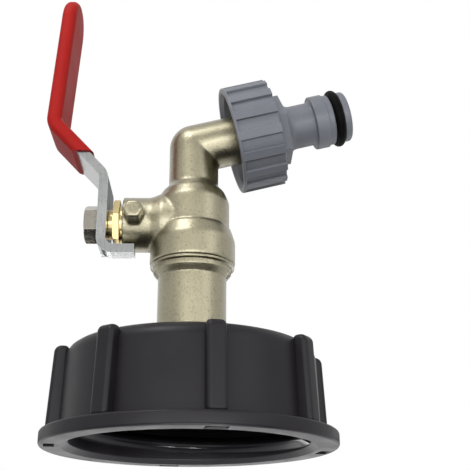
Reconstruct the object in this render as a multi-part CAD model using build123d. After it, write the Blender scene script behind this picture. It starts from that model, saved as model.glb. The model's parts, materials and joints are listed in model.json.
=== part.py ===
"""Tap for an intermediate bulk container: screw cap, ball valve, elbow spout and hose connector.

Millimetres. The origin is the centre of the cap's mouth, +Z runs up the valve axis, +X points
to the hose side and -X to the lever side. The lever stands in the open position.
"""
from build123d import *
from math import cos, radians, sin, sqrt, tan
import os

# Fits
thread_clearance = 0.05
running_clearance = 0.05
seat_clearance = 0.05
stop_clearance = 0.30
nut_burr_chamfer = 0.1
root_overlap = 0.3

# Tank cap
cap_flange_radius = 37.5
cap_flange_thickness = 3.5
cap_flange_round = 0.7
cap_height = 25.0
cap_foot_radius = 33.0
cap_shoulder_radius = 32.1
cap_shoulder_round = 3.6
cap_top_wall = 3.6
cap_mouth_radius = 32.0
cap_mouth_chamfer = 1.2
tank_thread_radius = 30.25
tank_thread_length = 12.8
tank_relief_depth = 0.5
tank_thread_crest_radius = 27.85
tank_thread_pitch = 6.0
tank_thread_foot_half = 2.3
tank_thread_crest_half = 1.3
tank_thread_start = 3.7
tank_thread_rise = 8.0
grip_rib_count = 8
grip_rib_width = 4.8
grip_rib_foot_radius = 36.1
grip_rib_shoulder_radius = 34.9
grip_rib_round = 4.4
grip_rib_edge_round = 1.3
grip_rib_top_drop = 0.4
grip_rib_turn = -79.0
flange_slot_count = 4
flange_slot_length = 5.4
flange_slot_width = 2.7
flange_slot_depth = 1.4
flange_slot_radius = 34.8

# Cap gasket, lock nut and washer
gasket_inner_radius = 22.0
gasket_thickness = 3.0
gasket_side_gap = 0.4
lock_nut_flats = 26.0
lock_nut_thickness = 4.8
lock_nut_chamfer = 0.8
lock_washer_thickness = 1.2
lock_washer_radius = 14.4

# Inlet tail piece
inlet_thread_radius = 10.48
inlet_thread_past_nut = 1.2
inlet_thread_chamfer = 0.6
inlet_pipe_radius = 9.15
inlet_bore_radius = 6.0
tail_collar_radius = 11.3
tail_collar_thickness = 0.9
tail_collar_edge = 0.25
tail_groove_radius = 10.5
tail_groove_width = 1.2
tail_chamfer_height = 1.7
tail_spigot_length = 5.2
tail_spigot_radius = 9.3

# Valve body casting
body_foot_z = 48.2
barrel_radius = 11.5
barrel_height = 6.6
barrel_edge = 0.35
barrel_round = 3.5
neck_step_z = 58.4
neck_step_radius = 10.35
chamber_radius_outside = 9.9
shoulder_z = 66.4
chamber_round = 3.0
shoulder_ring_radius = 8.7
shoulder_ring_z = 69.3
shoulder_top_radius = 7.7
shoulder_top_z = 70.3
spout_radius = 6.85
spout_foot_z = 71.6
spout_foot_round = 1.2
elbow_z = 83.3
spout_rise = 14.3
spout_bore_radius = 4.8
outlet_thread_radius = 13.0
outlet_thread_start = 15.6
outlet_thread_length = 4.4
outlet_neck_cone = 1.6
outlet_thread_lead = 1.0
outlet_thread_chamfer = 0.5

# Ball, seats and chamber
ball_z = 60.2
ball_radius = 7.6
ball_bore_radius = 4.7
ball_chamber_radius = 8.4
seat_thickness = 3.2
seat_reach = 3.9
stem_slot_width = 4.0
stem_slot_depth = 2.4

# Stem boss, stem and packing, measured outwards from the valve axis
boss_radius = 7.5
boss_end = 18.9
boss_root_radius = 8.7
boss_root_start = 8.4
boss_root_end = 11.4
boss_root_round = 2.5
stem_radius = 4.1
stem_foot_radius = 4.8
stem_foot_gap = 0.1
stem_foot_thickness = 1.5
thrust_washer_thickness = 0.9
packing_start = 13.0
packing_length = 2.8
packing_radius = 5.4
tang_clearance = 0.1
tang_seat_clearance = 0.15

# Gland nut
gland_neck_length = 0.85
gland_neck_radius = 5.2
gland_head_flats = 11.8
gland_head_thickness = 1.75
gland_turn = 5.5
gland_chamfer = 0.4

# Lever
lever_thickness = 2.5
lever_width = 15.0
lever_face = 22.9
lever_flats = 6.2
lever_hole_clearance = 0.05
lever_bend_radius = 4.0
lever_low_bend_z = 72.4
lever_high_bend_offset = 38.75
lever_high_bend_z = 88.0
lever_tip_offset = 36.1
lever_tip_z = 129.3
lever_tip_round = 6.9
lever_foot_drop = 8.1
lever_foot_round = 5.0
tab_reach = 15.25
tab_bend_radius = 3.2
tab_notch_radius = 0.75

# Stop lugs on the stem boss
lug_flats = 4.7
lug_reach = 12.5
lug_offset = 15.5
lug_chamfer = 0.55

# Vinyl sleeve on the lever
sleeve_wall = 0.85
sleeve_end_z = 78.9
sleeve_edge_round = 1.8

# Lever nut and the stem's threaded end
lever_nut_flats = 9.4
lever_nut_thickness = 3.9
lever_nut_turn = 27.0
lever_nut_chamfer = 0.7
stem_thread_radius = 3.0
stem_thread_short = 0.4

# Hose connector, measured along the spout from the elbow's corner
connector_start = 10.8
skirt_length = 12.5
skirt_radius = 14.35
skirt_rib_count = 16
skirt_rib_height = 0.75
skirt_rib_share = 0.46
skirt_rim_length = 0.8
skirt_rim_round = 0.6
skirt_mouth_radius = 13.9
skirt_mouth_depth = 1.2
spanner_flats = 17.4
spanner_length = 3.2
spanner_taper = 0.9
waist_root_radius = 7.4
waist_radius = 6.15
waist_root_length = 1.6
waist_root_round = 5.0
waist_length = 6.5
front_collar_radius = 7.6
front_collar_length = 3.8
spigot_radius = 7.15
spigot_land_length = 1.7
spigot_tip_length = 2.1
spigot_tip_round = 0.8
spigot_bore_radius = 4.8
washer_thickness = 2.0
washer_side_gap = 0.4
washer_bore_gap = 0.5

# Ring on the spigot
oring_section_radius = 1.35
oring_radius = 8.15

# Places that follow from the sizes above
cap_inner_top_z = cap_height - cap_top_wall
lock_washer_z = cap_inner_top_z - lock_washer_thickness
lock_nut_z = lock_washer_z - lock_nut_thickness
tail_end_z = lock_nut_z - inlet_thread_past_nut
tail_groove_z = body_foot_z - tail_collar_thickness - tail_groove_width
tail_top_z = body_foot_z + tail_spigot_length
upper_seat_top_z = ball_z + seat_reach + seat_thickness
lower_seat_foot_z = ball_z - seat_reach - seat_thickness
tang_radius = seat_reach - tang_seat_clearance
stem_foot_start = ball_chamber_radius + stem_foot_gap
stem_foot_end = stem_foot_start + stem_foot_thickness
gland_head_start = boss_end + gland_neck_length
packing_end = packing_start + packing_length
lever_back = lever_face + lever_thickness
lever_nut_end = lever_back + lever_nut_thickness
tab_rear_y = -(lug_flats / 2 + stop_clearance)
outlet_end = outlet_thread_start + outlet_thread_length
connector_floor = outlet_end + washer_thickness
skirt_end = connector_start + skirt_length
waist_start = skirt_end + spanner_length
front_collar_start = waist_start + waist_root_length + waist_length
spigot_start = front_collar_start + front_collar_length
groove_start = spigot_start + spigot_land_length
groove_width = 2 * oring_section_radius
spigot_tip_start = groove_start + groove_width
connector_end = spigot_tip_start + spigot_tip_length
groove_radius = oring_radius - 2 * oring_section_radius

# Local frames: one looks out along the stem, the other along the spout
stem_frame = Plane(origin=(0, 0, ball_z), x_dir=(0, -1, 0), z_dir=(-1, 0, 0)).location
spout_direction = (cos(radians(spout_rise)), 0, sin(radians(spout_rise)))
spout_frame = Plane(origin=(0, 0, elbow_z), x_dir=(0, -1, 0), z_dir=spout_direction).location


def turned(corners, rounds=()):
    """Solid of revolution about Z from (radius, height) corners, some of them rounded."""
    face = make_face(Polyline(*[(radius, 0, height) for radius, height in corners], close=True))
    for radius, height, size in rounds:
        corner = face.vertices().sort_by_distance((radius, 0, height))[0]
        face = fillet(corner, size)
    return revolve(face, Axis.Z)


def rod(radius, start, end):
    """Round rod on Z between two heights."""
    return Pos(0, 0, start) * Cylinder(radius, end - start, align=(Align.CENTER, Align.CENTER, Align.MIN))


def ring(outer, inner, start, end):
    """Flat ring on Z between two heights."""
    return rod(outer, start, end) - rod(inner, start, end)


def hexagon(flats, start, end, turn=0):
    """Hexagonal prism on Z between two heights, given across its flats."""
    outline = Pos(0, 0, start) * Rot(0, 0, turn) * RegularPolygon(flats / 2, 6, major_radius=False)
    return extrude(outline, end - start)


def chamfered_hexagon(flats, start, end, turn, low_chamfer, high_chamfer):
    """Hexagonal nut blank whose corners are turned off at one or both ends."""
    corner = flats / sqrt(3)
    blank = turned([
        (0, start),
        (corner - low_chamfer, start),
        (corner, start + low_chamfer * tan(radians(30)) + 0.001),
        (corner, end - high_chamfer * tan(radians(30)) - 0.001),
        (corner - high_chamfer, end),
        (0, end),
    ])
    return hexagon(flats, start, end, turn) & blank


def flat_sided_rod(radius, flats, start, end):
    """Round rod on Z with two flats, lengthwise across the lever."""
    outline = Circle(radius) & Rectangle(flats, 2 * radius)
    return extrude(Pos(0, 0, start) * outline, end - start)


def grip_rib():
    """One upright grip rib of the cap, standing out along +X."""
    inside = cap_shoulder_radius - cap_shoulder_round - root_overlap
    top = cap_height - grip_rib_top_drop
    profile = make_face(Polyline(
        (inside, 0, cap_flange_thickness - root_overlap),
        (grip_rib_foot_radius, 0, cap_flange_thickness - root_overlap),
        (grip_rib_shoulder_radius, 0, top),
        (inside, 0, top),
        close=True,
    ))
    shoulder = profile.vertices().sort_by_distance((grip_rib_shoulder_radius, 0, top))[0]
    rib = extrude(fillet(shoulder, grip_rib_round), grip_rib_width / 2, both=True)
    outer_edges = rib.edges().filter_by_position(Axis.X, inside + 1, grip_rib_foot_radius)
    side_edges = outer_edges.filter_by(lambda edge: abs(edge.center().Y) > grip_rib_width / 2 - 0.01)
    return fillet(side_edges, grip_rib_edge_round)


def tank_thread_ridge():
    """Helical ridge of the tank thread, standing in from the bore and rooted in its wall."""
    slope = (tank_thread_foot_half - tank_thread_crest_half) / (tank_thread_radius - tank_thread_crest_radius)
    root_half = tank_thread_foot_half + slope * root_overlap
    top_half = tank_thread_crest_half - slope * root_overlap
    root = tank_thread_radius + root_overlap
    top = tank_thread_crest_radius - root_overlap
    tooth = make_face(Polyline(
        (root, 0, tank_thread_start - root_half),
        (top, 0, tank_thread_start - top_half),
        (top, 0, tank_thread_start + top_half),
        (root, 0, tank_thread_start + root_half),
        close=True,
    ))
    path = Pos(0, 0, tank_thread_start) * Helix(tank_thread_pitch, tank_thread_rise, tank_thread_radius)
    return sweep(tooth, path=path, is_frenet=True) - rod(tank_thread_crest_radius, 0, cap_height)


def make_tank_cap():
    """Moulded screw cap with its flange, grip ribs and tank thread."""
    outside = turned(
        [
            (0, 0),
            (cap_flange_radius, 0),
            (cap_flange_radius, cap_flange_thickness),
            (cap_foot_radius, cap_flange_thickness),
            (cap_shoulder_radius, cap_height),
            (0, cap_height),
        ],
        [
            (cap_flange_radius, 0, cap_flange_round),
            (cap_flange_radius, cap_flange_thickness, cap_flange_round),
            (cap_shoulder_radius, cap_height, cap_shoulder_round),
        ],
    )
    ribs = [turn * grip_rib() for turn in PolarLocations(0, grip_rib_count, start_angle=grip_rib_turn)]
    thread_top = cap_mouth_chamfer + tank_thread_length
    inside = turned([
        (0, 0),
        (cap_mouth_radius, 0),
        (tank_thread_radius, cap_mouth_chamfer),
        (tank_thread_radius, thread_top),
        (tank_thread_radius + tank_relief_depth, thread_top),
        (tank_thread_radius + tank_relief_depth, cap_inner_top_z),
        (0, cap_inner_top_z),
    ])
    hole = rod(inlet_thread_radius + thread_clearance, 0, cap_height)
    slot = Box(flange_slot_width, flange_slot_length, 2 * flange_slot_depth)
    slots = PolarLocations(flange_slot_radius, flange_slot_count, start_angle=grip_rib_turn) * slot
    return outside + ribs - inside - hole - slots + tank_thread_ridge()


def make_cap_gasket():
    """Flat rubber ring that seals on the tank's outlet."""
    outer = tank_thread_radius + tank_relief_depth - gasket_side_gap
    return ring(outer, gasket_inner_radius, cap_inner_top_z - gasket_thickness, cap_inner_top_z)


def make_lock_washer():
    """Fibre washer between the cap and the lock nut."""
    bore = inlet_thread_radius + thread_clearance
    return ring(lock_washer_radius, bore, lock_washer_z, cap_inner_top_z)


def make_lock_nut():
    """Brass nut that clamps the tail piece to the cap from inside."""
    blank = chamfered_hexagon(
        lock_nut_flats, lock_nut_z, lock_washer_z, 0, lock_nut_chamfer, nut_burr_chamfer
    )
    return blank - rod(inlet_thread_radius + thread_clearance, lock_nut_z, lock_washer_z)


def make_inlet_tail():
    """Turned tail piece: pipe thread, plain pipe, collar and the spigot that holds the lower seat."""
    outside = turned([
        (0, tail_end_z),
        (inlet_thread_radius - inlet_thread_chamfer, tail_end_z),
        (inlet_thread_radius, tail_end_z + inlet_thread_chamfer),
        (inlet_thread_radius, cap_height),
        (inlet_pipe_radius, cap_height + inlet_thread_radius - inlet_pipe_radius),
        (inlet_pipe_radius, tail_groove_z - tail_chamfer_height),
        (tail_groove_radius, tail_groove_z),
        (tail_groove_radius, tail_groove_z + tail_groove_width),
        (tail_collar_radius, tail_groove_z + tail_groove_width + tail_collar_edge),
        (tail_collar_radius, body_foot_z),
        (tail_spigot_radius, body_foot_z),
        (tail_spigot_radius, tail_top_z),
        (0, tail_top_z),
    ])
    seat_pocket = rod(ball_chamber_radius, lower_seat_foot_z, tail_top_z)
    return outside - rod(inlet_bore_radius, tail_end_z, tail_top_z) - seat_pocket


def stop_lug(side):
    """Hexagonal cast lug on the stem boss; side is -1 for the front and 1 for the back."""
    lug_frame = Plane(origin=(-lug_offset, 0, ball_z), x_dir=(0, 0, 1), z_dir=(0, side, 0)).location
    blank = chamfered_hexagon(lug_flats, 0, lug_reach, 30, nut_burr_chamfer, lug_chamfer)
    return lug_frame * blank


def make_valve_body():
    """Brass casting: barrel, ball chamber, stem boss, stop lugs, elbow spout and outlet thread."""
    barrel_top = body_foot_z + barrel_height
    trunk = turned(
        [
            (0, body_foot_z),
            (barrel_radius - barrel_edge, body_foot_z),
            (barrel_radius, body_foot_z + barrel_edge),
            (barrel_radius, barrel_top),
            (neck_step_radius, neck_step_z),
            (chamber_radius_outside, neck_step_z),
            (chamber_radius_outside, shoulder_z),
            (shoulder_ring_radius, shoulder_ring_z),
            (shoulder_top_radius, shoulder_top_z),
            (spout_radius, spout_foot_z),
            (spout_radius, elbow_z),
            (0, elbow_z),
        ],
        [
            (barrel_radius, barrel_top, barrel_round),
            (chamber_radius_outside, shoulder_z, chamber_round),
            (spout_radius, spout_foot_z, spout_foot_round),
        ],
    )
    boss = stem_frame * turned(
        [
            (0, 0),
            (boss_root_radius, 0),
            (boss_root_radius, boss_root_start),
            (boss_radius, boss_root_end),
            (boss_radius, boss_end),
            (0, boss_end),
        ],
        [(boss_radius, boss_root_end, boss_root_round)],
    )
    knuckle = Pos(0, 0, elbow_z) * Sphere(spout_radius)
    spout = spout_frame * turned([
        (0, 0),
        (spout_radius, 0),
        (spout_radius, outlet_thread_start - outlet_neck_cone),
        (outlet_thread_radius - outlet_thread_lead, outlet_thread_start),
        (outlet_thread_radius, outlet_thread_start + outlet_thread_lead),
        (outlet_thread_radius, outlet_end - outlet_thread_chamfer),
        (outlet_thread_radius - outlet_thread_chamfer, outlet_end),
        (0, outlet_end),
    ])
    outside = trunk + boss + knuckle + spout + stop_lug(-1) + stop_lug(1)
    spigot_bore = rod(tail_spigot_radius + thread_clearance, body_foot_z, tail_top_z)
    chamber = rod(ball_chamber_radius, tail_top_z, upper_seat_top_z)
    waterway = rod(spout_bore_radius, upper_seat_top_z, elbow_z)
    waterway += Pos(0, 0, elbow_z) * Sphere(spout_bore_radius)
    waterway += spout_frame * rod(spout_bore_radius, 0, outlet_end)
    stem_bore = stem_frame * rod(stem_radius + running_clearance, 0, boss_end)
    foot_bore_end = stem_foot_end + thrust_washer_thickness
    foot_bore = stem_frame * rod(stem_foot_radius + running_clearance, 0, foot_bore_end)
    stuffing_box = stem_frame * rod(packing_radius, packing_start, boss_end)
    return outside - spigot_bore - chamber - waterway - stem_bore - foot_bore - stuffing_box


def make_seat(top_side):
    """Plastic seat ring whose socket follows the ball; top_side is 1 above the ball, -1 below it."""
    inner = ball_z + top_side * seat_reach
    outer = ball_z + top_side * (seat_reach + seat_thickness)
    blank = ring(ball_chamber_radius, ball_bore_radius, min(inner, outer), max(inner, outer))
    return blank - Pos(0, 0, ball_z) * Sphere(ball_radius + seat_clearance)


def make_ball():
    """Ball with its waterway open along the valve axis and the slot that the stem turns."""
    ball = Pos(0, 0, ball_z) * Sphere(ball_radius)
    bore = rod(ball_bore_radius, ball_z - ball_radius, ball_z + ball_radius)
    slot = Box(2 * ball_radius, stem_slot_width, 2 * stem_slot_depth)
    return ball - bore - stem_frame * Pos(0, 0, ball_radius) * slot


def make_stem():
    """Turned stem: tang, shoulder foot, spindle, flats for the lever and threaded end."""
    tang_tip = ball_radius - stem_slot_depth + tang_clearance
    tang = Box(2 * tang_radius, stem_slot_width - 2 * tang_clearance, stem_foot_start - tang_tip)
    tang = Pos(0, 0, (tang_tip + stem_foot_start) / 2) * tang
    tang = tang & rod(tang_radius, tang_tip, stem_foot_start)
    foot = rod(stem_foot_radius, stem_foot_start, stem_foot_end)
    spindle = rod(stem_radius, stem_foot_end, lever_face)
    flats = flat_sided_rod(stem_radius, lever_flats, lever_face, lever_back)
    thread = rod(stem_thread_radius, lever_back, lever_nut_end - stem_thread_short)
    return stem_frame * (tang + foot + spindle + flats + thread)


def make_thrust_washer():
    """Plastic ring between the stem's shoulder and the body."""
    bore = stem_radius + running_clearance
    return stem_frame * ring(stem_foot_radius, bore, stem_foot_end, stem_foot_end + thrust_washer_thickness)


def make_stem_packing():
    """Plastic packing ring in the stuffing box."""
    return stem_frame * ring(packing_radius, stem_radius + running_clearance, packing_start, packing_end)


def make_gland_nut():
    """Brass gland nut: threaded shank, neck and hexagon head."""
    shank = rod(packing_radius - thread_clearance, packing_end, boss_end)
    neck = rod(gland_neck_radius, boss_end, gland_head_start)
    head_end = gland_head_start + gland_head_thickness
    head = chamfered_hexagon(
        gland_head_flats, gland_head_start, head_end, gland_turn, nut_burr_chamfer, gland_chamfer
    )
    bore = rod(stem_radius + running_clearance, packing_end, head_end)
    return stem_frame * (shank + neck + head - bore)


def lever_path():
    """Centre line of the lever strip, from the stop tab to just past the grip's tip."""
    plate_x = -(lever_face + lever_thickness / 2)
    tab_z = ball_z - lever_foot_drop - lever_thickness / 2
    lean = (lever_high_bend_offset - lever_tip_offset) / (lever_tip_z - lever_high_bend_z)
    spare = 2 * lever_thickness
    corners = [
        (-tab_reach, 0, tab_z),
        (plate_x, 0, tab_z),
        (plate_x, 0, lever_low_bend_z),
        (-lever_high_bend_offset, 0, lever_high_bend_z),
        (-lever_tip_offset + lean * spare, 0, lever_tip_z + spare),
    ]
    return FilletPolyline(*corners, radius=[tab_bend_radius, lever_bend_radius, lever_bend_radius])


def strip(section):
    """Strip of the given section along the lever's centre line."""
    path = lever_path()
    start = Plane(origin=path @ 0, x_dir=(0, 1, 0), z_dir=path % 0)
    return sweep(start * section, path)


def rounded_tip(blank, width, tip_z, corner):
    """The blank cut off at the tip's height, with the tip's two corners rounded."""
    reach = 3 * lever_high_bend_offset
    blank = blank - Pos(0, 0, tip_z) * Box(reach, reach, reach, align=(Align.CENTER, Align.CENTER, Align.MIN))
    for side in (-1, 1):
        centre = Pos(0, side * (width / 2 - corner), tip_z - corner)
        waste = Pos(0, side * corner, corner) * Box(reach, 2 * corner, 2 * corner)
        blank = blank - centre * (waste - Rot(0, 90, 0) * Cylinder(corner, reach))
    return blank


def make_lever():
    """Bent steel strip with the stop tab at its foot and flats for the stem."""
    blank = strip(Rectangle(lever_width, lever_thickness))
    blank = rounded_tip(blank, lever_width, lever_tip_z, lever_tip_round)
    foot_z = ball_z - lever_foot_drop
    waste_height = 3 * lever_thickness
    waste_width = lever_width / 2 - tab_rear_y
    waste = Pos(-lever_face, tab_rear_y, foot_z) * Box(
        4 * tab_reach, waste_width, waste_height, align=(Align.CENTER, Align.MIN, Align.MAX)
    )
    blank = blank - waste
    foot_edges = blank.edges().filter_by(Axis.X).sort_by_distance((-lever_face, lever_width / 2, foot_z))
    blank = fillet(foot_edges[0], lever_foot_round)
    notch = Pos(-lever_back, -lever_width / 2, foot_z - lever_thickness / 3) * Rot(90, 0, 0)
    notch = notch * Cylinder(tab_notch_radius, lever_thickness)
    hole = flat_sided_rod(
        stem_radius + lever_hole_clearance, lever_flats + 2 * lever_hole_clearance, lever_face, lever_back
    )
    return blank - notch - stem_frame * hole


def make_lever_sleeve(lever):
    """Dipped vinyl sleeve round the upper part of the lever, with a rounded edge all along its outline."""
    width = lever_width + 2 * sleeve_wall
    thickness = lever_thickness + 2 * sleeve_wall
    skin = strip(Rectangle(width, thickness))
    skin = rounded_tip(skin, width, lever_tip_z + sleeve_wall, lever_tip_round + sleeve_wall)
    reach = 3 * lever_high_bend_offset
    undipped = Pos(0, 0, sleeve_end_z) * Box(
        reach, reach, sleeve_end_z, align=(Align.CENTER, Align.CENTER, Align.MAX)
    )
    skin = skin - undipped
    path = lever_path()
    outline = []
    for edge in skin.edges():
        middle = edge.center()
        off_path = path.distance_to(Vertex(middle.X, 0, middle.Z))
        if middle.Z > sleeve_end_z + sleeve_wall and off_path > thickness / 4:
            outline.append(edge)
    return fillet(outline, sleeve_edge_round) - lever


def make_lever_nut():
    """Hexagon nut on the stem's threaded end."""
    nut = chamfered_hexagon(
        lever_nut_flats, lever_back, lever_nut_end, lever_nut_turn, nut_burr_chamfer, lever_nut_chamfer
    )
    return stem_frame * (nut - rod(stem_thread_radius + thread_clearance, lever_back, lever_nut_end))


def skirt_rib():
    """One grip rib of the connector's skirt, standing out along +X."""
    length = skirt_length - skirt_rim_length
    width = skirt_rib_share * 2 * skirt_radius * tan(radians(180 / skirt_rib_count))
    height = skirt_rib_height + skirt_rib_height
    rib = Box(height, width, length, align=(Align.CENTER, Align.CENTER, Align.MIN))
    return Pos(skirt_radius, 0, connector_start + skirt_rim_length) * rib


def make_hose_connector():
    """Grey moulding: ribbed skirt with the outlet thread, spanner collar, waist and spigot."""
    rim_radius = skirt_radius + skirt_rib_height
    waist_foot = waist_start + waist_root_length
    skirt = turned(
        [
            (0, connector_start),
            (rim_radius, connector_start),
            (rim_radius, connector_start + skirt_rim_length),
            (skirt_radius, connector_start + skirt_rim_length),
            (skirt_radius, skirt_end),
            (0, skirt_end),
        ],
        [(rim_radius, connector_start, skirt_rim_round)],
    )
    ribs = [turn * skirt_rib() for turn in PolarLocations(0, skirt_rib_count)]
    collar = extrude(
        Pos(0, 0, skirt_end) * RegularPolygon(spanner_flats / 2, 6, major_radius=False),
        spanner_length,
        taper=spanner_taper,
    )
    spigot = turned(
        [
            (0, waist_start),
            (waist_root_radius, waist_start),
            (waist_radius, waist_foot),
            (waist_radius, front_collar_start),
            (front_collar_radius, front_collar_start),
            (front_collar_radius, spigot_start),
            (spigot_radius, spigot_start),
            (spigot_radius, groove_start),
            (groove_radius, groove_start),
            (groove_radius, spigot_tip_start),
            (spigot_radius, spigot_tip_start),
            (spigot_radius, connector_end),
            (0, connector_end),
        ],
        [(waist_radius, waist_foot, waist_root_round), (spigot_radius, connector_end, spigot_tip_round)],
    )
    inside = turned([
        (0, connector_start),
        (skirt_mouth_radius, connector_start),
        (outlet_thread_radius + thread_clearance, connector_start + skirt_mouth_depth),
        (outlet_thread_radius + thread_clearance, connector_floor),
        (spigot_bore_radius, connector_floor),
        (spigot_bore_radius, connector_end),
        (0, connector_end),
    ])
    return spout_frame * (skirt + ribs + collar + spigot - inside)


def make_connector_washer():
    """Flat rubber washer between the outlet and the connector's floor."""
    outer = outlet_thread_radius - washer_side_gap
    return spout_frame * ring(outer, spigot_bore_radius + washer_bore_gap, outlet_end, connector_floor)


def make_connector_oring():
    """Rubber ring in the spigot's groove."""
    middle = (groove_start + spigot_tip_start) / 2
    return spout_frame * Pos(0, 0, middle) * Torus(oring_radius - oring_section_radius, oring_section_radius)


def make_pieces():
    """Every piece of the tap, by its node name."""
    lever = make_lever()
    return {
        "tank_cap": make_tank_cap(),
        "cap_gasket": make_cap_gasket(),
        "lock_washer": make_lock_washer(),
        "lock_nut": make_lock_nut(),
        "inlet_tail": make_inlet_tail(),
        "valve_body": make_valve_body(),
        "seat_lower": make_seat(-1),
        "seat_upper": make_seat(1),
        "ball": make_ball(),
        "stem": make_stem(),
        "thrust_washer": make_thrust_washer(),
        "stem_packing": make_stem_packing(),
        "gland_nut": make_gland_nut(),
        "lever": lever,
        "lever_sleeve": make_lever_sleeve(lever),
        "lever_nut": make_lever_nut(),
        "hose_connector": make_hose_connector(),
        "connector_washer": make_connector_washer(),
        "connector_oring": make_connector_oring(),
    }


os.makedirs("parts", exist_ok=True)
for node, shape in make_pieces().items():
    shape.label = node
    export_step(shape, f"parts/{node}.step")
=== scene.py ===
"""Looks of an intermediate bulk container tap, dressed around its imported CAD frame."""

import json
import logging
import math
from dataclasses import dataclass
from dataclasses import field
from enum import Enum

import bmesh
import bpy
from mathutils import Matrix
from mathutils import Vector

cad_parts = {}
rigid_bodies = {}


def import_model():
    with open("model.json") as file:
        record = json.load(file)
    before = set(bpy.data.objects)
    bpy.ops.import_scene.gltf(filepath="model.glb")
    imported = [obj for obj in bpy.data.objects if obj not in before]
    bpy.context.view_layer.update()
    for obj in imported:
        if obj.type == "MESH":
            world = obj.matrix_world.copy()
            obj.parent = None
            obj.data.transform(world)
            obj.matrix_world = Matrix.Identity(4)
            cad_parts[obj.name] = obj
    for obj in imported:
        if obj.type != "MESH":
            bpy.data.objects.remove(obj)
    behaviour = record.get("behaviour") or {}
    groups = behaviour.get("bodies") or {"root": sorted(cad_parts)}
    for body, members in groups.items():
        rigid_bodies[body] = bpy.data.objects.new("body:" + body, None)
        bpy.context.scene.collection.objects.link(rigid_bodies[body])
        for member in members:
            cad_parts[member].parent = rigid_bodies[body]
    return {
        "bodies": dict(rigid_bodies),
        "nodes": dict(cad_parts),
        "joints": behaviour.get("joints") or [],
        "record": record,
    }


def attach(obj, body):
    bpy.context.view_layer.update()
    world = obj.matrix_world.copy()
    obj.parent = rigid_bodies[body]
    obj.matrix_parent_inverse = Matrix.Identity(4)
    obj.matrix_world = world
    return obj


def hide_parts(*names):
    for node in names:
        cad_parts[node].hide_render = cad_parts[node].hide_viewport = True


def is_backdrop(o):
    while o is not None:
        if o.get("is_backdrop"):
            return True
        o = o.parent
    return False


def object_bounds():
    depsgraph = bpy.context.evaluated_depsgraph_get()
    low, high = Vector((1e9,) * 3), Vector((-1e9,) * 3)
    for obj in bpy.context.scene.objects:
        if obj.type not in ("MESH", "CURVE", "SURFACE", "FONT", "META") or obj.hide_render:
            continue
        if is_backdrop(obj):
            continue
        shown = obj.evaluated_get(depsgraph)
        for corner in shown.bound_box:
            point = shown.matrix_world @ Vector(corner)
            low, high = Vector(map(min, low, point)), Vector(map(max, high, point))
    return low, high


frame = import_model()

log = logging.getLogger("tap")

MM = 0.001

Colour = tuple[float, float, float]
Place = tuple[float, float, float]
Point = tuple[float, float]
Span = tuple[float, float]
Corner = tuple[float, float, float]
Inputs = dict[str | int, object]

# Places of the mix node's sockets, whose names repeat
MIX_FACTOR = 0
MIX_A = 2
MIX_B = 3
MIX_COLOUR_A = 6
MIX_COLOUR_B = 7
MIX_COLOUR_OUT = 2

# Angle from X of the cap's first rib, which has a slot under it
FIRST_RIB = math.radians(-79.0)

# Mesh work
MERGE_DISTANCE = 2e-6
FLAT_ANGLE = math.radians(0.4)
FLAT_WEIGHT = 80
SHARP_ANGLE = math.radians(35)
LONGEST_ROUND = 0.48

# Marks, painted edge highlights, dark specks and painted shade of the finishes
MARK_DETAIL = 3.0
CLOUD_SCALE = 90.0
CLOUD_DETAIL = 4.0
CLOUD_CONTRAST = 1.3
CLOUD_OFFSET = -0.33
CLOUD_RANGE = (0.3, 0.7)
COAT_ROUGHNESS = 0.16
# Painted highlights: outer edges, found by the bevel node and ambient occlusion, are made paler
HIGHLIGHT_WIDTH = 0.35 * MM
HIGHLIGHT_BEND = (0.99, 0.86)
HIGHLIGHT_AIR = 0.8 * MM
HIGHLIGHT_OPEN = (0.70, 0.95)
HIGHLIGHT_GAIN = 2.2
# Painted shade: recesses found by ambient occlusion are darkened, and dark specks are scattered
SHADE_REACH = 2.2 * MM
SHADE_OPEN = (0.30, 0.92)
SPECK_AND_SHADE_COLOUR = (0.035, 0.027, 0.016, 1.0)
SPECK_SIZE = 0.55 * MM
SPECK_DETAIL = 2.0
SPECK_GAIN = 1.6
SPECK_LIMIT = 0.88


class Grain(Enum):
    """How a surface was made, which sets the pattern of its small marks."""

    CAST = "cast"
    TURNED = "turned"
    ROLLED = "rolled"
    MOULDED = "moulded"
    DIPPED = "dipped"


class Body(Enum):
    """CAD bodies that pieces ride on."""

    TAP = "tap"
    LEVER = "lever"


class Miter(Enum):
    """How rounded edges meet at an outer corner."""

    SHARP = "MITER_SHARP"
    ARC = "MITER_ARC"


def add_node(
    tree: bpy.types.NodeTree, kind: str, inputs: Inputs | None = None, **settings: object
) -> bpy.types.Node:
    """Adds a node to a tree.

    Args:
        tree: Tree that it goes in.
        kind: Type of the node.
        inputs: Values of its inputs, by name or place.
        settings: Values of its own properties.

    Returns:
        The new node.
    """
    node = tree.nodes.new(kind)
    for name, value in settings.items():
        setattr(node, name, value)
    for key, value in (inputs or {}).items():
        node.inputs[key].default_value = value
    return node


def add_noise(tree: bpy.types.NodeTree, scale: float, detail: float) -> bpy.types.Node:
    """Adds a noise texture.

    Args:
        tree: Tree that it goes in.
        scale: Cells per metre.
        detail: Octaves.

    Returns:
        The new node.
    """
    return add_node(tree, "ShaderNodeTexNoise", {"Scale": scale, "Detail": detail})


def add_range(tree: bpy.types.NodeTree, source: Span, result: Span) -> bpy.types.Node:
    """Adds a node that maps one range of values onto another.

    Args:
        tree: Tree that it goes in.
        source: Start and end of the values that come in.
        result: Start and end of the values that go out.

    Returns:
        The new node.
    """
    labels = ("From Min", "From Max", "To Min", "To Max")
    return add_node(tree, "ShaderNodeMapRange", dict(zip(labels, (*source, *result))))


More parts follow.
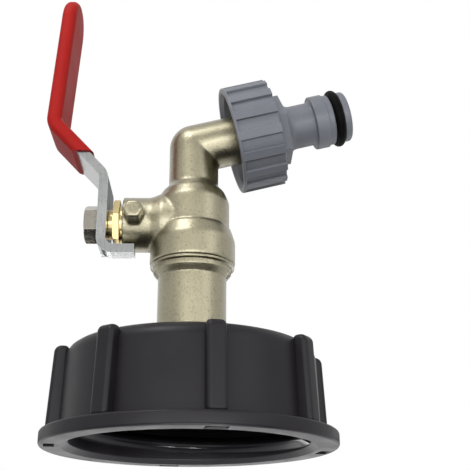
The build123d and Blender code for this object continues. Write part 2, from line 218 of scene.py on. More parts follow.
def blank_material(name: str) -> tuple[bpy.types.Material, bpy.types.NodeTree, bpy.types.NodeSocket]:
    """Starts a material.

    Args:
        name: Name of the material.

    Returns:
        The material, its empty tree and the socket that takes its surface.
    """
    made = bpy.data.materials.new(name)
    made.use_nodes = True
    tree = made.node_tree
    tree.nodes.clear()
    output = add_node(tree, "ShaderNodeOutputMaterial")
    return made, tree, output.inputs["Surface"]


@dataclass(frozen=True)
class Finish:
    """A procedural surface finish.

    Args:
        name: Name of the material.
        slot: Name of the record's material slot; not used.
        deep: Darker colour of the mottling, linear.
        pale: Lighter colour of the mottling, linear.
        metallic: Share of metal, 0 or 1.
        roughness: Lowest and highest roughness of the surface.
        grain: How the surface was made.
        grain_size: Width of one mark, in metres.
        relief: Height of the marks, in metres.
        specks_and_shade: Strength of the painted shade in recesses and of the dark specks.
        speckle: Share of the marks in the colour.
        shine: Strength of the reflections of a surface that isn't metal.
        edge_highlight: Share of a paler colour along outer edges, a painted highlight.
        coat: Strength of the sharper reflections of a bright plating.
    """

    name: str
    slot: str
    deep: Colour
    pale: Colour
    metallic: float
    roughness: Span
    grain: Grain
    grain_size: float
    relief: float
    specks_and_shade: float = 0.0
    speckle: float = 0.35
    shine: float = 0.5
    edge_highlight: float = 0.0
    coat: float = 0.0

    def stretch(self) -> tuple[float, float, float]:
        """Returns how the marks are drawn out along X, Y and Z."""
        if self.grain is Grain.TURNED:
            return (0.12, 0.12, 1.6)
        if self.grain is Grain.ROLLED:
            return (1.0, 1.6, 0.12)
        return (1.0, 1.0, 1.0)

    def material(self) -> bpy.types.Material:
        """Builds the node tree once and returns the material."""
        label = f"{self.name}_finish"
        made = bpy.data.materials.get(label)
        if made:
            return made
        made, tree, surface = blank_material(label)
        shader = add_node(
            tree,
            "ShaderNodeBsdfPrincipled",
            {
                "Metallic": self.metallic,
                "Specular IOR Level": self.shine,
                "Coat Weight": self.coat,
                "Coat Roughness": COAT_ROUGHNESS,
            },
        )
        place = add_node(tree, "ShaderNodeTexCoord").outputs["Object"]
        drawn = add_node(tree, "ShaderNodeMapping", {"Scale": self.stretch()})
        marks = add_noise(tree, 1.0 / self.grain_size, MARK_DETAIL)
        clouds = add_noise(tree, CLOUD_SCALE, CLOUD_DETAIL)
        rough = add_range(tree, CLOUD_RANGE, self.roughness)
        bump = add_node(tree, "ShaderNodeBump", {"Strength": 1.0, "Distance": self.relief})
        link = tree.links.new
        link(place, drawn.inputs["Vector"])
        link(drawn.outputs["Vector"], marks.inputs["Vector"])
        link(place, clouds.inputs["Vector"])
        mottled = self._mottled(tree, marks.outputs["Fac"], clouds.outputs["Fac"])
        # The base colour gets painted highlights on outer edges, then painted shade in recesses and dark
        # specks
        edge_lit = self._edge_highlighted(tree, mottled)
        link(self._shaded_and_specked(tree, edge_lit, place), shader.inputs["Base Color"])
        link(clouds.outputs["Fac"], rough.inputs["Value"])
        link(rough.outputs["Result"], shader.inputs["Roughness"])
        link(marks.outputs["Fac"], bump.inputs["Height"])
        link(bump.outputs["Normal"], shader.inputs["Normal"])
        link(shader.outputs["BSDF"], surface)
        return made

    def _mottled(
        self, tree: bpy.types.NodeTree, marks: bpy.types.NodeSocket, clouds: bpy.types.NodeSocket
    ) -> bpy.types.NodeSocket:
        """Mixes the finish's two colours.

        Args:
            tree: Node tree that it goes in.
            marks: Pattern of the small marks.
            clouds: Pattern of the wide patches.

        Returns:
            The mottled colour.
        """
        tint = add_node(
            tree,
            "ShaderNodeMix",
            {MIX_COLOUR_A: (*self.deep, 1.0), MIX_COLOUR_B: (*self.pale, 1.0)},
            data_type="RGBA",
        )
        wide = add_node(
            tree, "ShaderNodeMath", {1: CLOUD_CONTRAST, 2: CLOUD_OFFSET}, operation="MULTIPLY_ADD"
        )
        both = add_node(tree, "ShaderNodeMath", {1: self.speckle}, operation="MULTIPLY_ADD")
        link = tree.links.new
        link(clouds, wide.inputs[0])
        link(marks, both.inputs[0])
        link(wide.outputs[0], both.inputs[2])
        link(both.outputs[0], tint.inputs[MIX_FACTOR])
        return tint.outputs[MIX_COLOUR_OUT]

    def _edge_highlighted(self, tree: bpy.types.NodeTree, colour: bpy.types.NodeSocket) -> bpy.types.NodeSocket:
        """Paints a highlight along outer edges by making the colour paler there.

        Args:
            tree: Node tree that it goes in.
            colour: Colour of the faces.

        Returns:
            The colour with painted edge highlights, or the plain colour if the finish has none.
        """
        # A paler colour on outer edges is a painted highlight
        if self.edge_highlight <= 0.0:
            return colour
        soft = add_node(tree, "ShaderNodeBevel", {"Radius": HIGHLIGHT_WIDTH}, samples=4)
        flat = add_node(tree, "ShaderNodeNewGeometry")
        along = add_node(tree, "ShaderNodeVectorMath", operation="DOT_PRODUCT")
        edge = add_range(tree, HIGHLIGHT_BEND, (0.0, self.edge_highlight))
        open_air = add_node(tree, "ShaderNodeAmbientOcclusion", {"Distance": HIGHLIGHT_AIR}, samples=6)
        outer = add_range(tree, HIGHLIGHT_OPEN, (0.0, 1.0))
        share = add_node(tree, "ShaderNodeMath", operation="MULTIPLY")
        bright = [min(1.0, HIGHLIGHT_GAIN * value) for value in self.pale]
        paler = add_node(tree, "ShaderNodeMix", {MIX_COLOUR_B: (*bright, 1.0)}, data_type="RGBA")
        link = tree.links.new
        link(soft.outputs["Normal"], along.inputs[0])
        link(flat.outputs["Normal"], along.inputs[1])
        link(along.outputs["Value"], edge.inputs["Value"])
        link(open_air.outputs["AO"], outer.inputs["Value"])
        link(edge.outputs["Result"], share.inputs[0])
        link(outer.outputs["Result"], share.inputs[1])
        link(share.outputs[0], paler.inputs[MIX_FACTOR])
        link(colour, paler.inputs[MIX_COLOUR_A])
        return paler.outputs[MIX_COLOUR_OUT]

    def _shaded_and_specked(
        self, tree: bpy.types.NodeTree, colour: bpy.types.NodeSocket, place: bpy.types.NodeSocket
    ) -> bpy.types.NodeSocket:
        """Paints shade where the surface is hidden in a recess, and darkens it in scattered specks.

        Args:
            tree: Node tree that it goes in.
            colour: Colour before the painted shade and specks.
            place: Coordinates on the object.

        Returns:
            The colour with painted shade and dark specks, or the same colour if the finish has none.
        """
        # Ambient occlusion paints shade into recesses; noise adds dark specks on top
        if self.specks_and_shade <= 0.0:
            return colour
        hidden = add_node(tree, "ShaderNodeAmbientOcclusion", {"Distance": SHADE_REACH}, samples=8)
        depth = add_range(tree, SHADE_OPEN, (self.specks_and_shade, 0.0))
        specks = add_noise(tree, 1.0 / SPECK_SIZE, SPECK_DETAIL)
        broken = add_node(tree, "ShaderNodeMath", {1: SPECK_GAIN * self.specks_and_shade}, operation="MULTIPLY_ADD")
        share = add_node(
            tree, "ShaderNodeMath", {1: SPECK_LIMIT * self.specks_and_shade}, operation="SUBTRACT", use_clamp=True
        )
        specked_and_shaded = add_node(tree, "ShaderNodeMix", {MIX_COLOUR_B: SPECK_AND_SHADE_COLOUR}, data_type="RGBA")
        link = tree.links.new
        link(place, specks.inputs["Vector"])
        link(hidden.outputs["AO"], depth.inputs["Value"])
        link(specks.outputs["Fac"], broken.inputs[0])
        link(depth.outputs["Result"], broken.inputs[2])
        link(broken.outputs[0], share.inputs[0])
        link(share.outputs[0], specked_and_shaded.inputs[MIX_FACTOR])
        link(colour, specked_and_shaded.inputs[MIX_COLOUR_A])
        return specked_and_shaded.outputs[MIX_COLOUR_OUT]


# Several finishes below paint shade into recesses and highlights onto outer edges, besides their dark
# specks
BLACK_PLASTIC = Finish(
    name="black_plastic",
    slot="black_plastic",
    deep=(0.0079, 0.0067, 0.0088),
    pale=(0.0135, 0.0119, 0.0149),
    metallic=0.0,
    roughness=(0.36, 0.48),
    grain=Grain.MOULDED,
    grain_size=0.5 * MM,
    relief=0.012 * MM,
    shine=0.25,
    edge_highlight=0.6,
)
BLACK_RUBBER = Finish(
    name="black_rubber",
    slot="black_rubber",
    deep=(0.002, 0.002, 0.002),
    pale=(0.004, 0.004, 0.004),
    metallic=0.0,
    roughness=(0.45, 0.60),
    grain=Grain.MOULDED,
    grain_size=0.3 * MM,
    relief=0.010 * MM,
    shine=0.05,
)
POLISHED_BLACK = Finish(
    name="polished_black",
    slot="black_plastic",
    deep=(0.0055, 0.0055, 0.0070),
    pale=(0.0095, 0.0095, 0.0115),
    metallic=0.0,
    roughness=(0.17, 0.22),
    grain=Grain.MOULDED,
    grain_size=1.0 * MM,
    relief=0.010 * MM,
    shine=0.13,
)
RED_FIBRE = Finish(
    name="red_fibre",
    slot="red_fibre",
    deep=(0.22, 0.05, 0.03),
    pale=(0.36, 0.10, 0.06),
    metallic=0.0,
    roughness=(0.60, 0.80),
    grain=Grain.MOULDED,
    grain_size=0.5 * MM,
    relief=0.030 * MM,
)
PLAIN_BRASS = Finish(
    name="plain_brass",
    slot="plain_brass",
    deep=(0.60, 0.46, 0.20),
    pale=(0.78, 0.64, 0.34),
    metallic=1.0,
    roughness=(0.16, 0.26),
    grain=Grain.TURNED,
    grain_size=0.3 * MM,
    relief=0.004 * MM,
    specks_and_shade=0.35,
)
NICKEL_BRASS = Finish(
    name="nickel_casting",
    slot="nickel_brass",
    deep=(0.172, 0.154, 0.094),
    pale=(0.322, 0.296, 0.202),
    metallic=1.0,
    roughness=(0.26, 0.40),
    grain=Grain.CAST,
    grain_size=0.30 * MM,
    relief=0.07 * MM,
    specks_and_shade=1.3,
    speckle=1.5,
    edge_highlight=0.25,
    coat=0.6,
)
BRIGHT_NICKEL = Finish(
    name="bright_nickel",
    slot="nickel_brass",
    deep=(0.34, 0.32, 0.27),
    pale=(0.50, 0.47, 0.40),
    metallic=1.0,
    roughness=(0.07, 0.13),
    grain=Grain.CAST,
    grain_size=0.6 * MM,
    relief=0.02 * MM,
    specks_and_shade=0.5,
)
WHITE_PLASTIC = Finish(
    name="white_plastic",
    slot="white_plastic",
    deep=(0.70, 0.70, 0.67),
    pale=(0.85, 0.85, 0.83),
    metallic=0.0,
    roughness=(0.35, 0.50),
    grain=Grain.MOULDED,
    grain_size=0.5 * MM,
    relief=0.010 * MM,
)
CHROMED_BALL = Finish(
    name="chromed_ball",
    slot="chromed_ball",
    deep=(0.60, 0.60, 0.61),
    pale=(0.74, 0.74, 0.75),
    metallic=1.0,
    roughness=(0.06, 0.12),
    grain=Grain.TURNED,
    grain_size=0.5 * MM,
    relief=0.002 * MM,
)
ZINC_STEEL = Finish(
    name="zinc_steel",
    slot="zinc_steel",
    deep=(0.30, 0.31, 0.31),
    pale=(0.52, 0.53, 0.52),
    metallic=1.0,
    roughness=(0.10, 0.20),
    grain=Grain.ROLLED,
    grain_size=0.5 * MM,
    relief=0.02 * MM,
    specks_and_shade=0.7,
    speckle=0.8,
    edge_highlight=0.3,
)
RED_VINYL = Finish(
    name="red_vinyl",
    slot="red_vinyl",
    deep=(0.385, 0.0118, 0.0094),
    pale=(0.47, 0.0170, 0.0137),
    metallic=0.0,
    roughness=(0.46, 0.56),
    grain=Grain.DIPPED,
    grain_size=1.4 * MM,
    relief=0.030 * MM,
    shine=0.12,
)
GREY_PLASTIC = Finish(
    name="grey_plastic",
    slot="grey_plastic",
    deep=(0.157, 0.167, 0.195),
    pale=(0.198, 0.209, 0.238),
    metallic=0.0,
    roughness=(0.34, 0.44),
    grain=Grain.MOULDED,
    grain_size=0.4 * MM,
    relief=0.010 * MM,
    specks_and_shade=0.30,
    shine=0.40,
    edge_highlight=0.45,
)


def linked(name: str, data: bpy.types.ID) -> bpy.types.Object:
    """Makes an object and links it into the scene.

    Args:
        name: Name of the object.
        data: Its mesh, light or camera.

    Returns:
        The new object, at the origin.
    """
    made = bpy.data.objects.new(name, data)
    bpy.context.scene.collection.objects.link(made)
    return made


def baked(obj: bpy.types.Object) -> bpy.types.Object:
    """Applies an object's modifiers.

    Args:
        obj: Object whose evaluated shape is kept.

    Returns:
        The same object with a plain mesh and no modifier.
    """
    graph = bpy.context.evaluated_depsgraph_get()
    old = obj.data
    shape = obj.evaluated_get(graph)
    mesh = bpy.data.meshes.new_from_object(shape, preserve_all_data_layers=True, depsgraph=graph)
    obj.modifiers.clear()
    obj.data = mesh
    if old.users == 0:
        bpy.data.meshes.remove(old)
    return obj


def edged(
    obj: bpy.types.Object, width: float, segments: int, angle: float, miter: Miter = Miter.SHARP
) -> bpy.types.Object:
    """Rounds an object's sharp edges and keeps its flats flat.

    Args:
        obj: Object with a plain mesh.
        width: Width of the rounds, in metres.
        segments: Faces across a round.
        angle: Edges sharper than this are rounded, in degrees.
        miter: How rounds meet at an outer corner.

    Returns:
        The same object with a plain mesh.
    """
    bevel = obj.modifiers.new("rounds", "BEVEL")
    bevel.width = width
    bevel.segments = segments
    bevel.limit_method = "ANGLE"
    bevel.angle_limit = math.radians(angle)
    bevel.miter_outer = miter.value
    even = obj.modifiers.new("flats", "WEIGHTED_NORMAL")
    even.weight = FLAT_WEIGHT
    return baked(obj)


def join_flats(mesh: bpy.types.Mesh) -> None:
    """Makes the faces of each flat one face.

    Args:
        mesh: Mesh that is changed.
    """
    work = bmesh.new()
    work.from_mesh(mesh)
    bmesh.ops.dissolve_limit(work, angle_limit=FLAT_ANGLE, verts=work.verts, edges=work.edges)
    work.to_mesh(mesh)
    work.free()


def merged_copy(node: str, name: str) -> bpy.types.Object:
    """Copies a CAD node and merges its split vertices.

    Args:
        node: Name of the CAD node.
        name: Name of the new object.

    Returns:
        A new object with the merged mesh.
    """
    mesh = frame["nodes"][node].data.copy()
    mesh.name = name
    normals = mesh.attributes.get("custom_normal")
    if normals:
        mesh.attributes.remove(normals)
    work = bmesh.new()
    work.from_mesh(mesh)
    bmesh.ops.remove_doubles(work, verts=work.verts, dist=MERGE_DISTANCE)
    work.to_mesh(mesh)
    work.free()
    return linked(name, mesh)


def solid(name: str, spots: list[Place], faces: list[tuple[int, ...]]) -> bpy.types.Object:
    """Makes a closed piece with its faces turned outwards, shaded smooth.

    Args:
        name: Name of the piece.
        spots: Its vertices, in metres.
        faces: Vertices of each face.

    Returns:
        The new piece.
    """
    mesh = bpy.data.meshes.new(name)
    mesh.from_pydata(spots, [], faces)
    work = bmesh.new()
    work.from_mesh(mesh)
    bmesh.ops.recalc_face_normals(work, faces=work.faces)
    work.to_mesh(mesh)
    work.free()
    mesh.shade_smooth()
    return linked(name, mesh)


def dress(obj: bpy.types.Object, finish: Finish, body: Body, *nodes: str) -> bpy.types.Object:
    """Gives a piece its finish and ties it to the frame.

    Args:
        obj: The piece.
        finish: Its surface.
        body: CAD body that it rides on.
        nodes: CAD nodes that it stands for.

    Returns:
        The same piece.
    """
    obj.data.materials.clear()
    obj.data.materials.append(finish.material())
    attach(obj, body.value)
    if nodes:
        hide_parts(*nodes)
    return obj


def softened(node: str, name: str, width: float, segments: int = 3) -> bpy.types.Object:
    """Copies a CAD node and rounds its sharp edges.

    Args:
        node: Name of the CAD node.
        name: Name of the new piece.
        width: Width of the rounds, in metres.
        segments: Faces across a round.

    Returns:
        The rounded piece, shaded smooth.
    """
    obj = merged_copy(node, name)
    join_flats(obj.data)
    obj.data.shade_smooth()
    return edged(obj, width, segments, angle=32, miter=Miter.ARC)


def cast(node: str, name: str, voxel: float, passes: int) -> bpy.types.Object:
    """Copies a CAD node as a casting, with every edge and inner corner rounded.

    Args:
        node: Name of the CAD node.
        name: Name of the new piece.
        voxel: Grid step of the new surface, in metres.
        passes: Smoothing passes.

    Returns:
        The cast piece, shaded smooth.
    """
    obj = merged_copy(node, name)
    grid = obj.modifiers.new("grid", "REMESH")
    grid.mode = "VOXEL"
    grid.voxel_size = voxel
    grid.use_smooth_shade = True
    even = obj.modifiers.new("even", "SMOOTH")
    even.factor = 0.5
    even.iterations = passes
    return baked(obj)


def rounded(corners: list[Corner], steps: int = 6) -> list[Point]:
    """Rounds the corners of a closed outline.

    Args:
        corners: Radius, height and rounding of each corner, in millimetres.
        steps: Faces on each round.

    Returns:
        Points of the outline, in metres.
    """
    points: list[Point] = []
    for index, (radius, height, rounding) in enumerate(corners):
        here = Vector((radius, height))
        before = Vector(corners[index - 1][:2]) - here
        after = Vector(corners[(index + 1) % len(corners)][:2]) - here
        if rounding <= 0.0:
            points.append((here.x * MM, here.y * MM))
            continue
        bend = before.angle(after)
        longest = LONGEST_ROUND * min(before.length, after.length)
        reach = min(rounding / math.tan(bend / 2), longest)
        first = here + before.normalized() * reach
        last = here + after.normalized() * reach
        middle = (before.normalized() + after.normalized()).normalized()
        centre = here + middle * (reach / math.cos(bend / 2))
        size = (first - centre).length
        for step in range(steps + 1):
            arm = (first - centre).lerp(last - centre, step / steps).normalized() * size
            spot = centre + arm
            points.append((spot.x * MM, spot.y * MM))
    return points


def box(inner: float, outer: float, low: float, high: float) -> list[Point]:
    """Returns the outline of a box in metres, from its two radii and two heights in millimetres."""
    corners = [(inner, low), (outer, low), (outer, high), (inner, high)]
    return [(radius * MM, height * MM) for radius, height in corners]


def closed_ring(name: str, sections: list[list[Point]]) -> bpy.types.Object:
    """Joins sections that stand evenly round the Z axis.

    Args:
        name: Name of the piece.
        sections: Radius and height of the points of each section, in metres.

    Returns:
        The ring, shaded smooth.
    """
    count = len(sections)
    size = len(sections[0])
    spots = []
    faces = []
    for step, section in enumerate(sections):
        turn = 2 * math.pi * step / count
        spots += [(radius * math.cos(turn), radius * math.sin(turn), height) for radius, height in section]
        here = step * size
        there = (step + 1) % count * size
        for index in range(size):
            following = (index + 1) % size
            faces.append((here + index, there + index, there + following, here + following))
    return solid(name, spots, faces)


def lathe(name: str, corners: list[Corner], place: Matrix, segments: int) -> bpy.types.Object:
    """Turns a closed outline round an axis.

    Args:
        name: Name of the piece.
        corners: Outline as radius, height and rounding, in millimetres.
        place: Where the axis is.
        segments: Faces in one turn.

    Returns:
        The turned piece, shaded smooth with sharp corners kept.
    """
    made = closed_ring(name, [rounded(corners)] * segments)
    made.data.transform(place)
    made.data.set_sharp_from_angle(angle=SHARP_ANGLE)
    return made


def bar(name: str, outline: list[Point], width: float, edge: float) -> bpy.types.Object:
    """Draws an outline in the XZ plane out to both sides and rounds its edges.

    Args:
        name: Name of the piece.
        outline: Corners as X and Z, in metres.
        width: Whole width along Y, in metres.
        edge: Rounding of the long edges, in metres.

    Returns:
        The bar with a plain mesh.
    """
    size = len(outline)
    spots = [(x, side * width / 2, z) for side in (-1, 1) for x, z in outline]
    faces = [tuple(range(size)), tuple(range(2 * size - 1, size - 1, -1))]
    faces += [(i, (i + 1) % size, size + (i + 1) % size, size + i) for i in range(size)]
    return edged(solid(name, spots, faces), edge, segments=4, angle=40)


def prism_ring(name: str, flats: float, inner: float, span: Span, edge: float) -> bpy.types.Object:
    """Makes a hexagon ring on the Z axis.

    Args:
        name: Name of the piece.
        flats: Size across the flats, in metres.
        inner: Radius of the hole, in metres.
        span: Heights of the foot and the top, in metres.
        edge: Rounding of the outer edges, in metres.

    Returns:
        The ring with a plain mesh.
    """
    count = 48
    sixth = math.pi / 3
    start, end = span
    sections = []
    for step in range(count):
        turn = 2 * math.pi * step / count
        nearest = round(turn / sixth - 0.5) * sixth + sixth / 2
        reach = flats / 2 / math.cos(turn - nearest)
        sections.append([(inner, start), (reach, start), (reach, end), (inner, end)])
    made = closed_ring(name, sections)
    join_flats(made.data)
    return edged(made, edge, segments=3, angle=30)


class ShapeTree:
    """A Geometry Nodes tree with named inputs, which ends in real geometry with its finish set.

    Args:
        name: Name of the tree and of the piece that it makes.
        inputs: Socket type of each named input.
    """

    def __init__(self, name: str, inputs: dict[str, str]) -> None:
        """Starts the tree with its inputs."""
        self.name = name
        self.group = bpy.data.node_groups.new(name, "GeometryNodeTree")
        panel = self.group.interface
        panel.new_socket("Geometry", in_out="OUTPUT", socket_type="NodeSocketGeometry")
        self.sockets = {
            label: panel.new_socket(label, in_out="INPUT", socket_type=kind).identifier
            for label, kind in {**inputs, "Finish": "NodeSocketMaterial"}.items()
        }
        self.given = self.add("NodeGroupInput").outputs
        self.link = self.group.links.new

    def add(self, kind: str, inputs: Inputs | None = None, **settings: object) -> bpy.types.Node:
        """Adds a node, with its inputs and properties set."""
        return add_node(self.group, kind, inputs, **settings)

    def close(self, shape: bpy.types.NodeSocket) -> None:
        """Makes instances real, sets the finish and hands the shape out.

        Args:
            shape: Last geometry of the tree.
        """
        real = self.add("GeometryNodeRealizeInstances")
        paint = self.add("GeometryNodeSetMaterial")
        result = self.add("NodeGroupOutput")
        self.link(shape, real.inputs["Geometry"])
        self.link(real.outputs["Geometry"], paint.inputs["Geometry"])
        self.link(self.given["Finish"], paint.inputs["Material"])
        self.link(paint.outputs["Geometry"], result.inputs["Geometry"])

    def run(self, values: dict[str, object], place: Matrix) -> bpy.types.Object:
        """Runs the tree on a new object.

        Args:
            values: Value of each named input.
            place: Where the tree's own origin and axes go.

        Returns:
            The result as a plain mesh at the origin.
        """
        obj = linked(self.name, bpy.data.meshes.new(self.name))
        nodes = obj.modifiers.new("shape", "NODES")
        nodes.node_group = self.group
        for label, value in values.items():
            nodes[self.sockets[label]] = value
        baked(obj)
        obj.data.transform(place)
        return obj


@dataclass
class Ring:
    """Equal pieces round the Z axis, made with Geometry Nodes.

    Args:
        count: Number of pieces.
        start: Angle of the first one from X, in radians.
    """

    count: int
    start: float

    def build(
        self, name: str, piece: bpy.types.Object, finish: Finish, place: Matrix
    ) -> bpy.types.Object:
        """Repeats a piece round the axis.

        Args:
            name: Name of the ring.
            piece: The one that is repeated, which is removed afterwards.
            finish: Material that the nodes set.
            place: Where the axis is.

        Returns:
            All the pieces as one plain mesh at the origin.
        """
        tree = ShapeTree(
            name,
            {
                "Count": "NodeSocketInt",
                "Start": "NodeSocketFloat",
                "Step": "NodeSocketFloat",
                "Piece": "NodeSocketObject",
            },
        )
        points = tree.add("GeometryNodePoints")
        number = tree.add("GeometryNodeInputIndex")
        angle = tree.add("ShaderNodeMath", operation="MULTIPLY_ADD")
        turn = tree.add("ShaderNodeCombineXYZ")
        info = tree.add("GeometryNodeObjectInfo")
        copies = tree.add("GeometryNodeInstanceOnPoints")
        tree.link(tree.given["Count"], points.inputs["Count"])
        tree.link(number.outputs["Index"], angle.inputs[0])
        tree.link(tree.given["Step"], angle.inputs[1])
        tree.link(tree.given["Start"], angle.inputs[2])
        tree.link(angle.outputs[0], turn.inputs["Z"])
        tree.link(tree.given["Piece"], info.inputs["Object"])
        tree.link(points.outputs["Points"], copies.inputs["Points"])
        tree.link(info.outputs["Geometry"], copies.inputs["Instance"])
        tree.link(turn.outputs["Vector"], copies.inputs["Rotation"])
        tree.close(copies.outputs["Instances"])
        values = {
            "Count": self.count,
            "Start": self.start,
            "Step": 2 * math.pi / self.count,
            "Piece": piece,
            "Finish": finish.material(),
        }
        made = tree.run(values, place)
        bpy.data.objects.remove(piece)
        return made


@dataclass
class Helix:
    """A right-handed thread ridge made with Geometry Nodes: a swept tooth on a spiral.

    Args:
        radius: Radius of the ridge's root, in metres.
        pitch: Rise for one turn, in metres.
        turns: Number of turns.
        foot: Half width of the tooth at its root, in metres.
        crest: Half width of the tooth at its crest, in metres.
        height: Height of the tooth, in metres, negative when it points to the axis.
        steps: Points on one turn.
        shoulder: Share of the height where the crest's rounding starts.
        flat: Share of the crest's width that stays flat.
        sharp: Edges that bend more than this stay sharp, in radians.
    """

    radius: float
    pitch: float
    turns: float
    foot: float
    crest: float
    height: float
    steps: int
    shoulder: float = 0.78
    flat: float = 0.55
    sharp: float = math.radians(50)

    def tooth(self) -> bpy.types.Object:
        """Returns the tooth's section as a closed mesh outline, X away from the axis and Y up."""
        half = [
            (0.0, self.foot),
            (self.height * self.shoulder, self.crest),
            (self.height, self.crest * self.flat),
        ]
        points = [(x, -y) for x, y in half] + half[::-1]
        mesh = bpy.data.meshes.new("tooth")
        edges = [(i, (i + 1) % len(points)) for i in range(len(points))]
        mesh.from_pydata([(x, y, 0.0) for x, y in points], edges, [])
        made = linked("tooth", mesh)
        made.hide_render = True
        return made

    def build(self, name: str, finish: Finish, place: Matrix) -> bpy.types.Object:
        """Sweeps the tooth along the spiral.

        Args:
            name: Name of the piece.
            finish: Material that the nodes set.
            place: Where the spiral's foot and axis are.

        Returns:
            The ridge as a plain mesh at the origin.
        """
        tree = ShapeTree(
            name,
            {
                "Radius": "NodeSocketFloat",
                "Rise": "NodeSocketFloat",
                "Turns": "NodeSocketFloat",
                "Steps": "NodeSocketInt",
                "Tooth": "NodeSocketObject",
            },
        )
        spiral = tree.add("GeometryNodeCurveSpiral", {"Reverse": True})
        upright = tree.add("GeometryNodeSetCurveNormal", mode="Z_UP")
        info = tree.add("GeometryNodeObjectInfo")
        outline = tree.add("GeometryNodeMeshToCurve")
        sweep = tree.add("GeometryNodeCurveToMesh", {"Fill Caps": True})
        tree.link(tree.given["Radius"], spiral.inputs["Start Radius"])
        tree.link(tree.given["Radius"], spiral.inputs["End Radius"])
        tree.link(tree.given["Rise"], spiral.inputs["Height"])
        tree.link(tree.given["Turns"], spiral.inputs["Rotations"])
        tree.link(tree.given["Steps"], spiral.inputs["Resolution"])
        tree.link(tree.given["Tooth"], info.inputs["Object"])
        tree.link(info.outputs["Geometry"], outline.inputs["Mesh"])
        tree.link(spiral.outputs["Curve"], upright.inputs["Curve"])
        tree.link(upright.outputs["Curve"], sweep.inputs["Curve"])
        tree.link(outline.outputs["Curve"], sweep.inputs["Profile Curve"])
        tree.close(sweep.outputs["Mesh"])
        tooth = self.tooth()
        values = {
            "Radius": self.radius,
            "Rise": self.pitch * self.turns,
            "Turns": self.turns,
            "Steps": self.steps,
            "Tooth": tooth,
            "Finish": finish.material(),
        }
        made = tree.run(values, place)
        made.data.shade_smooth()
        made.data.set_sharp_from_angle(angle=self.sharp)
        bpy.data.objects.remove(tooth)
        return made


@dataclass
class Cap:
    """Black screw cap with its grip ribs, flange slots, lock nut and coarse tank thread."""

    outline: list[Corner] = field(
        default_factory=lambda: [
            (10.53, 25.0, 0.3),
            (32.1, 25.0, 3.6),
            (33.0, 3.5, 0.5),
            (37.5, 3.5, 0.7),
            (37.5, 0.0, 0.7),
            (32.0, 0.0, 0.25),
            (30.25, 1.2, 0.4),
            (30.25, 14.0, 0.0),
            (30.75, 14.0, 0.0),
            (30.75, 21.4, 0.4),
            (10.53, 21.4, 0.2),
        ]
    )
    segments: int = 240
    rib_outline: list[Corner] = field(
        default_factory=lambda: [
            (31.2, 3.2, 0.0),
            (36.1, 3.2, 0.0),
            (34.9, 24.6, 4.4),
            (31.2, 24.6, 0.0),
        ]
    )
    rib_steps: int = 10
    rib_width: float = 4.8 * MM
    rib_edge: float = 1.2 * MM
    ribs: Ring = field(default_factory=lambda: Ring(8, FIRST_RIB))
    slots: Ring = field(default_factory=lambda: Ring(4, FIRST_RIB))
    slot_box: tuple[float, float, float, float] = (33.45, 36.15, -1.0, 1.4)
    slot_length: float = 5.4 * MM
    slot_edge: float = 0.15 * MM
    thread: Helix = field(
        default_factory=lambda: Helix(
            radius=30.3 * MM,
            pitch=6.0 * MM,
            turns=8.0 / 6.0,
            foot=2.3 * MM,
            crest=1.3 * MM,
            height=-2.45 * MM,
            steps=165,
        )
    )
    thread_start: float = 3.7 * MM
    nut_edge: float = 0.25 * MM

    def shell(self, place: Matrix) -> bpy.types.Object:
        """Turns the shell and cuts the slots into its flange.

        Args:
            place: Where the cap's axis is.

        Returns:
            The shell with a plain mesh.
        """
        made = lathe("cap_shell", self.outline, place, self.segments)
        cutter = bar("slot", box(*self.slot_box), self.slot_length, self.slot_edge)
        slots = self.slots.build("slots", cutter, BLACK_PLASTIC, place)
        cut = made.modifiers.new("slots", "BOOLEAN")
        cut.operation = "DIFFERENCE"
        cut.solver = "EXACT"
        cut.object = slots
        baked(made)
        made.data.set_sharp_from_angle(angle=SHARP_ANGLE)
        bpy.data.objects.remove(slots)
        return made

    def build(self) -> list[bpy.types.Object]:
        """Builds, dresses and returns the cap's pieces."""
        here = Matrix.Identity(4)
        shell = dress(self.shell(here), BLACK_PLASTIC, Body.TAP, "tank_cap")
        rib = bar("rib", rounded(self.rib_outline, self.rib_steps), self.rib_width, self.rib_edge)
        ribs = dress(self.ribs.build("cap_ribs", rib, BLACK_PLASTIC, here), BLACK_PLASTIC, Body.TAP)
        foot = Matrix.Translation((0, 0, self.thread_start))
        thread = dress(self.thread.build("cap_thread", POLISHED_BLACK, foot), POLISHED_BLACK, Body.TAP)
        nut = softened("lock_nut", "cap_lock_nut", self.nut_edge)
        dress(nut, PLAIN_BRASS, Body.TAP, "lock_nut")
        return [shell, ribs, thread, nut]


@dataclass
class Valve:
    """Plated valve: tail piece, cast body and gland nut."""

    voxel: float = 0.34 * MM
    passes: int = 5
    edge: float = 0.22 * MM

    def build(self) -> list[bpy.types.Object]:
        """Builds, dresses and returns the valve's pieces."""
        tail = softened("inlet_tail", "valve_tail", self.edge)
        dress(tail, NICKEL_BRASS, Body.TAP, "inlet_tail")
        casting = cast("valve_body", "valve_casting", self.voxel, self.passes)
        dress(casting, NICKEL_BRASS, Body.TAP, "valve_body")
        gland = softened("gland_nut", "valve_gland", self.edge)
        dress(gland, PLAIN_BRASS, Body.TAP, "gland_nut")
        return [tail, casting, gland]


